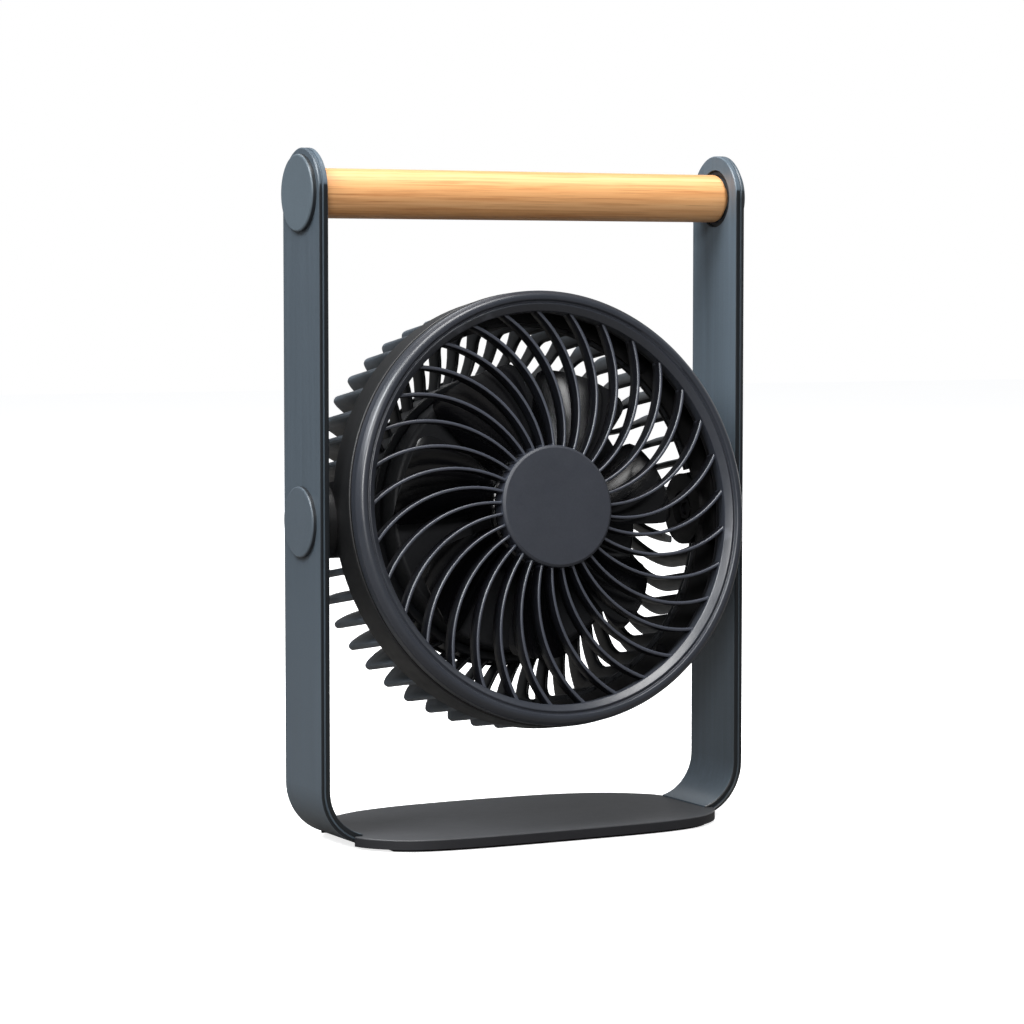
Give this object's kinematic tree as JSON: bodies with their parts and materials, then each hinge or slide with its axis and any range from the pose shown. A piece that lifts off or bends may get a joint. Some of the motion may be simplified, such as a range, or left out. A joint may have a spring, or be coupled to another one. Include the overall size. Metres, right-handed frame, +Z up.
{
  "type": "portable fan",
  "caption": "Cordless fan with a round tilting head between two strap uprights, a wooden carrying handle and a bowed flat base.",
  "frame": {"origin": "centre of the underside of the base, midway between the uprights and on the tilt axis's vertical plane", "axes": "+Z up, +X along the handle to the right seen from the front, +Y towards the back; the fan blows towards -Y"},
  "size_m": [0.2196, 0.1052, 0.308],
  "materials": {
    "frame_paint": "satin blue-grey powder coat",
    "plate_paint": "fine matt powder coat",
    "pad_rubber": "matt",
    "handle_wood": "clear satin lacquer, grain along the bar",
    "cap_plastic": "satin",
    "dark_plastic": "fine texture",
    "head_plastic": "satin",
    "drum_plastic": "satin",
    "grille_plastic": "satin",
    "cage_plastic": "satin",
    "blade_plastic": "glossy black",
    "button_plastic": "satin",
    "steel": "machined",
    "brass": "turned",
    "lens": "diffusing",
    "cell_wrap": "shrink wrap",
    "board": "solder mask",
    "core_iron": "plain",
    "copper": "enamelled wire"
  },
  "bodies": {
    "frame": {"outer_strap": "frame_paint", "right_inner_strip": "frame_paint", "left_inner_strip": "frame_paint", "base_plate": "plate_paint", "anti_slip_pad": "pad_rubber", "handle_bar": "handle_wood", "handle_collars": "dark_plastic", "handle_inserts": "brass", "handle_screws": "steel", "right_handle_cap": "cap_plastic", "left_handle_cap": "cap_plastic", "right_pivot_cap": "cap_plastic", "left_pivot_cap": "cap_plastic", "pivot_bolts": "steel", "pivot_nuts": "steel", "spring_washers": "steel", "friction_washers": "dark_plastic"},
    "head": {"bezel_ring": "head_plastic", "drum_shell": "drum_plastic", "pivot_bushes": "brass", "front_grille": "grille_plastic", "hub_disc": "head_plastic", "rear_cage": "cage_plastic", "cage_screws": "steel", "pod_housing": "dark_plastic", "pod_screws": "steel", "rear_cover": "dark_plastic", "cover_screws": "steel", "indicator_lens": "lens", "battery_cells": "cell_wrap", "control_board": "board", "button_switch": "steel", "charging_socket": "steel", "motor_carrier": "dark_plastic", "motor_screws": "steel", "front_bearing": "steel", "rear_bearing": "steel", "stator_core": "core_iron", "stator_coils": "copper"},
    "rotor": {"magnet_ring": "core_iron", "rotor_cup": "steel", "motor_shaft": "steel", "shaft_clip": "steel", "blade_nut": "steel", "fan_blades": "blade_plastic"},
    "button": {"power_button": "button_plastic"}
  },
  "joints": [
    {"name": "head_tilt", "type": "hinge", "parent": "frame", "child": "head", "pos_m": [0, 0, 0.1438], "axis": [1, 0, 0], "range_deg": [-81, 99]},
    {"name": "rotor_spin", "type": "hinge", "parent": "head", "child": "rotor", "pos_m": [0, 0, 0.1438], "axis": [0, -0.9877, 0.1564], "continuous": true},
    {"name": "power_press", "type": "slide", "parent": "head", "child": "button", "axis": [0, -0.9877, 0.1564], "range_m": [0, 0.0008], "stiffness_N_per_m": 900, "springref_m": -0.0006}
  ]
}
